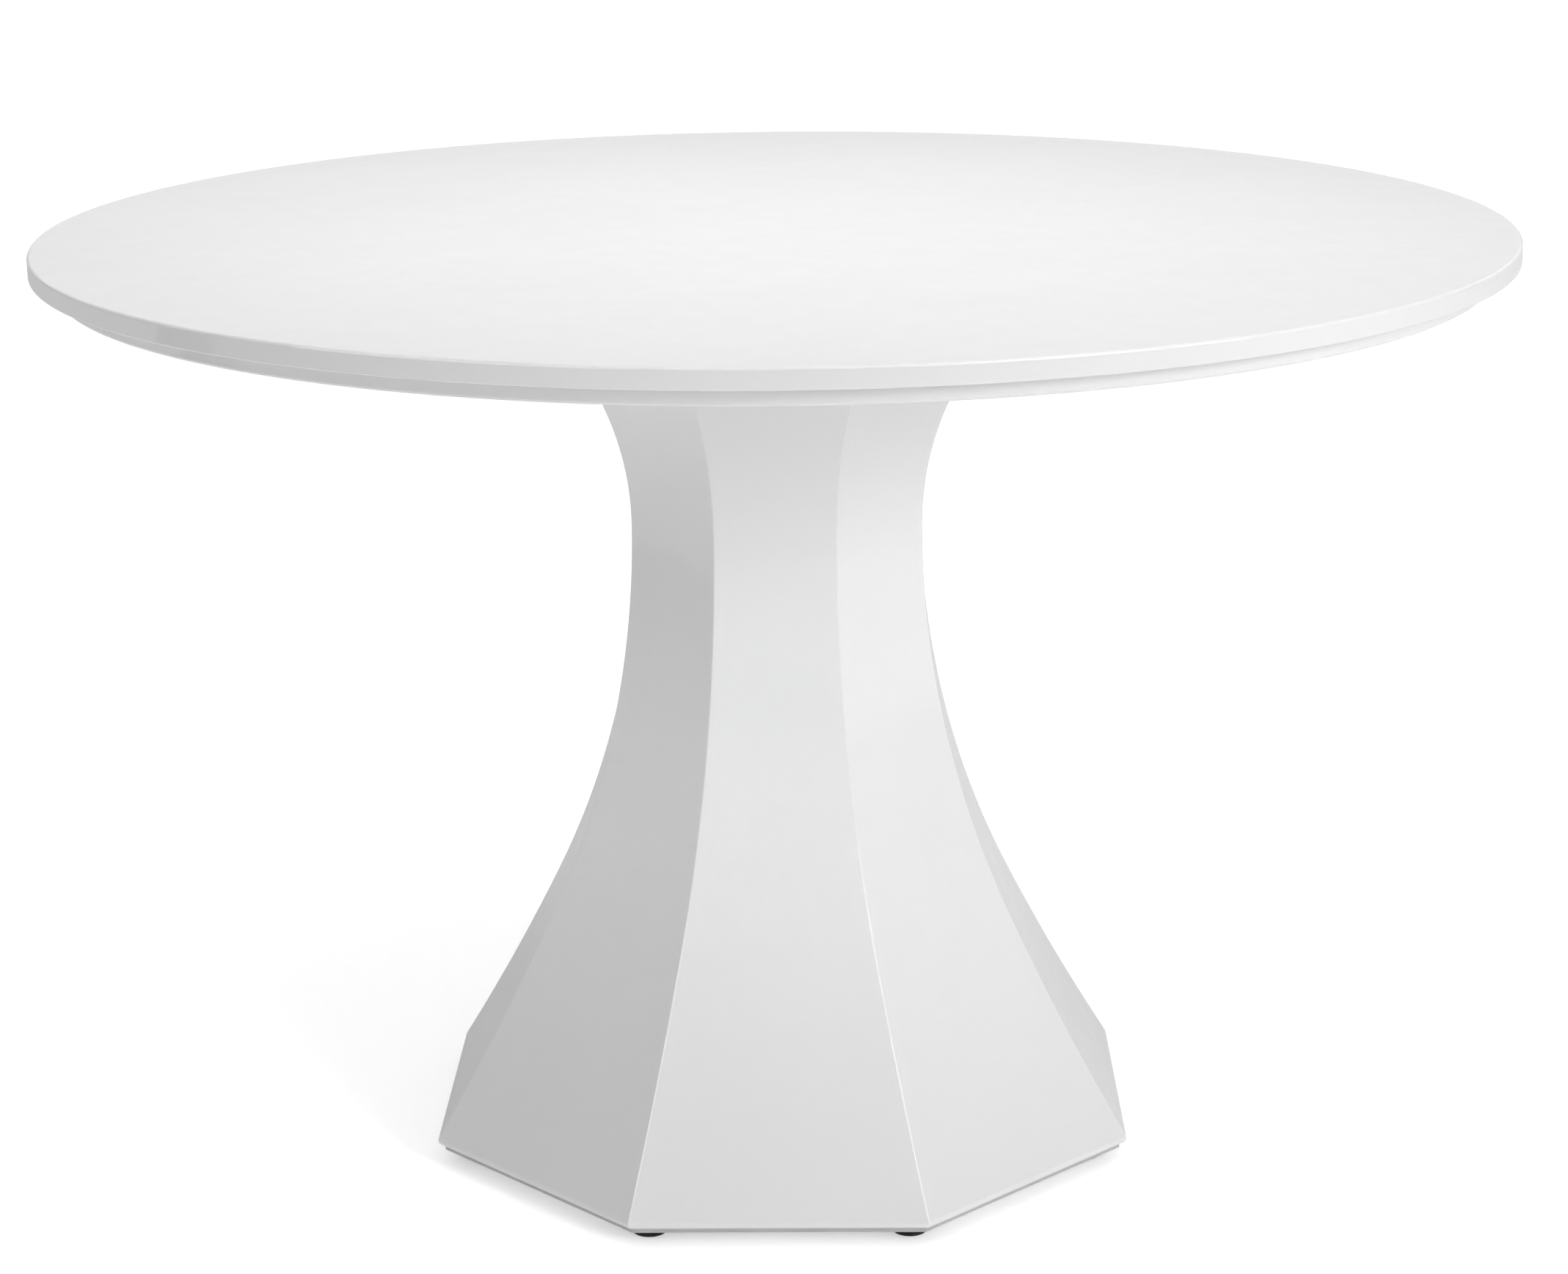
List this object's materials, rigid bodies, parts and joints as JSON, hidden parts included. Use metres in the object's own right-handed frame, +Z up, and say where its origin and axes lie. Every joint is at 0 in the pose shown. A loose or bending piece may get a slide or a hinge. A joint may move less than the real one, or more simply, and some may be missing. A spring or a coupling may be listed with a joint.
{
  "type": "round pedestal table",
  "caption": "Round white gloss dining table with a stepped top, on a flared octagonal pedestal that stands on levelling feet.",
  "frame": {"origin": "on the floor, under the centre of the round top", "axes": "+Z up along the pedestal's axis, -Y out of the panel that faces the viewer, +X to the viewer's right"},
  "size_m": [1.2, 1.2, 0.775],
  "materials": {
    "white_lacquer": "gloss",
    "grey_primer": "satin",
    "plywood": "satin",
    "beech": "satin",
    "black_nylon": "satin",
    "zinc_steel": "satin"
  },
  "bodies": {
    "frame": {"tabletop_panel": "white_lacquer", "tabletop_underlayer": "white_lacquer", "tabletop_screws": "zinc_steel", "tabletop_inserts": "zinc_steel", "mounting_board": "white_lacquer", "mounting_bolts": "zinc_steel", "mounting_washers": "zinc_steel", "mounting_screws": "zinc_steel", "head_board": "plywood", "waist_former": "plywood", "skirt_former": "plywood", "base_board": "grey_primer", "base_screws": "zinc_steel", "foot_inserts": "zinc_steel", "pedestal_panel_1": "white_lacquer", "pedestal_panel_2": "white_lacquer", "pedestal_panel_3": "white_lacquer", "pedestal_panel_4": "white_lacquer", "pedestal_panel_5": "white_lacquer", "pedestal_panel_6": "white_lacquer", "pedestal_panel_7": "white_lacquer", "pedestal_panel_8": "white_lacquer", "corner_block_1": "beech", "corner_block_2": "beech", "corner_block_3": "beech", "corner_block_4": "beech", "corner_block_5": "beech", "corner_block_6": "beech", "corner_block_7": "beech", "corner_block_8": "beech"},
    "foot_pad_1": {"foot_pad_1": "black_nylon"},
    "foot_stud_1": {"foot_stud_1": "zinc_steel"},
    "foot_pad_2": {"foot_pad_2": "black_nylon"},
    "foot_stud_2": {"foot_stud_2": "zinc_steel"},
    "foot_pad_3": {"foot_pad_3": "black_nylon"},
    "foot_stud_3": {"foot_stud_3": "zinc_steel"},
    "foot_pad_4": {"foot_pad_4": "black_nylon"},
    "foot_stud_4": {"foot_stud_4": "zinc_steel"},
    "foot_pad_5": {"foot_pad_5": "black_nylon"},
    "foot_stud_5": {"foot_stud_5": "zinc_steel"},
    "foot_pad_6": {"foot_pad_6": "black_nylon"},
    "foot_stud_6": {"foot_stud_6": "zinc_steel"},
    "foot_pad_7": {"foot_pad_7": "black_nylon"},
    "foot_stud_7": {"foot_stud_7": "zinc_steel"},
    "foot_pad_8": {"foot_pad_8": "black_nylon"},
    "foot_stud_8": {"foot_stud_8": "zinc_steel"}
  },
  "joints": [
    {"name": "foot_1_lower", "type": "slide", "parent": "frame", "child": "foot_pad_1", "axis": [0, 0, -1], "range_m": [0, 0.012]},
    {"name": "foot_1_turn", "type": "hinge", "parent": "foot_pad_1", "child": "foot_stud_1", "pos_m": [0.10486, -0.25314, 0.005], "axis": [0, 0, -1], "range_deg": [0, 3450]},
    {"name": "foot_2_lower", "type": "slide", "parent": "frame", "child": "foot_pad_2", "axis": [0, 0, -1], "range_m": [0, 0.012]},
    {"name": "foot_2_turn", "type": "hinge", "parent": "foot_pad_2", "child": "foot_stud_2", "pos_m": [0.25314, -0.10486, 0.005], "axis": [0, 0, -1], "range_deg": [0, 3450]},
    {"name": "foot_3_lower", "type": "slide", "parent": "frame", "child": "foot_pad_3", "axis": [0, 0, -1], "range_m": [0, 0.012]},
    {"name": "foot_3_turn", "type": "hinge", "parent": "foot_pad_3", "child": "foot_stud_3", "pos_m": [0.25314, 0.10486, 0.005], "axis": [0, 0, -1], "range_deg": [0, 3450]},
    {"name": "foot_4_lower", "type": "slide", "parent": "frame", "child": "foot_pad_4", "axis": [0, 0, -1], "range_m": [0, 0.012]},
    {"name": "foot_4_turn", "type": "hinge", "parent": "foot_pad_4", "child": "foot_stud_4", "pos_m": [0.10486, 0.25314, 0.005], "axis": [0, 0, -1], "range_deg": [0, 3450]},
    {"name": "foot_5_lower", "type": "slide", "parent": "frame", "child": "foot_pad_5", "axis": [0, 0, -1], "range_m": [0, 0.012]},
    {"name": "foot_5_turn", "type": "hinge", "parent": "foot_pad_5", "child": "foot_stud_5", "pos_m": [-0.10486, 0.25314, 0.005], "axis": [0, 0, -1], "range_deg": [0, 3450]},
    {"name": "foot_6_lower", "type": "slide", "parent": "frame", "child": "foot_pad_6", "axis": [0, 0, -1], "range_m": [0, 0.012]},
    {"name": "foot_6_turn", "type": "hinge", "parent": "foot_pad_6", "child": "foot_stud_6", "pos_m": [-0.25314, 0.10486, 0.005], "axis": [0, 0, -1], "range_deg": [0, 3450]},
    {"name": "foot_7_lower", "type": "slide", "parent": "frame", "child": "foot_pad_7", "axis": [0, 0, -1], "range_m": [0, 0.012]},
    {"name": "foot_7_turn", "type": "hinge", "parent": "foot_pad_7", "child": "foot_stud_7", "pos_m": [-0.25314, -0.10486, 0.005], "axis": [0, 0, -1], "range_deg": [0, 3450]},
    {"name": "foot_8_lower", "type": "slide", "parent": "frame", "child": "foot_pad_8", "axis": [0, 0, -1], "range_m": [0, 0.012]},
    {"name": "foot_8_turn", "type": "hinge", "parent": "foot_pad_8", "child": "foot_stud_8", "pos_m": [-0.10486, -0.25314, 0.005], "axis": [0, 0, -1], "range_deg": [0, 3450]}
  ],
  "couplings": [
    {"joint": "foot_1_lower", "follows": "foot_1_turn", "m_per_rad": 0.00019894},
    {"joint": "foot_2_lower", "follows": "foot_2_turn", "m_per_rad": 0.00019894},
    {"joint": "foot_3_lower", "follows": "foot_3_turn", "m_per_rad": 0.00019894},
    {"joint": "foot_4_lower", "follows": "foot_4_turn", "m_per_rad": 0.00019894},
    {"joint": "foot_5_lower", "follows": "foot_5_turn", "m_per_rad": 0.00019894},
    {"joint": "foot_6_lower", "follows": "foot_6_turn", "m_per_rad": 0.00019894},
    {"joint": "foot_7_lower", "follows": "foot_7_turn", "m_per_rad": 0.00019894},
    {"joint": "foot_8_lower", "follows": "foot_8_turn", "m_per_rad": 0.00019894}
  ]
}
